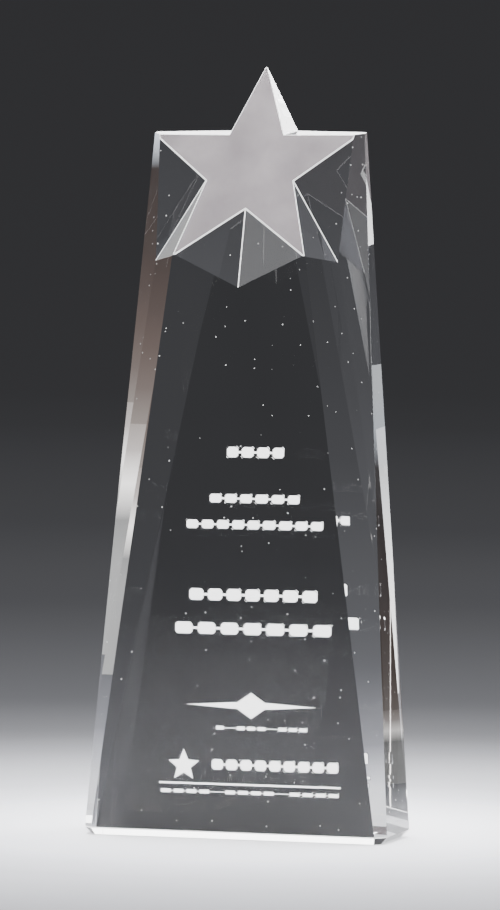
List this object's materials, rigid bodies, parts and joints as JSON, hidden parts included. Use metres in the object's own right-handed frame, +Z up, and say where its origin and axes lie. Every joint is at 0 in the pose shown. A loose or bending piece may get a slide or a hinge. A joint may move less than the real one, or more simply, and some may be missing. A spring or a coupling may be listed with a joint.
{
  "type": "star trophy",
  "caption": "Free-standing crystal award: a tapered faceted block topped by a leaning frosted star, with a sandblasted dedication of plain beaded lines and ornaments on its back.",
  "frame": {"origin": "on the floor, under the middle of the base's bounding box", "axes": "+Z up along the tower's height, -Y towards the front, where the star's frosted face looks, +X to the right as seen from the front"},
  "size_m": [0.103, 0.0333, 0.254],
  "materials": {
    "crystal": "polished optical crystal, flat facets with crisp edges",
    "frosted_crystal": "evenly sandblasted, satin, slightly pinkish grey",
    "etched_crystal": "deeply sandblasted, matt white"
  },
  "bodies": {
    "root": {"crystal_block": "crystal", "frosted_star_face": "frosted_crystal", "etched_date": "etched_crystal", "etched_award_upper": "etched_crystal", "etched_award_lower": "etched_crystal", "etched_name_upper": "etched_crystal", "etched_name_lower": "etched_crystal", "etched_ornament": "etched_crystal", "etched_ornament_caption": "etched_crystal", "etched_badge": "etched_crystal", "etched_badge_line": "etched_crystal", "etched_badge_rule": "etched_crystal", "etched_badge_caption": "etched_crystal"}
  },
  "joints": []
}
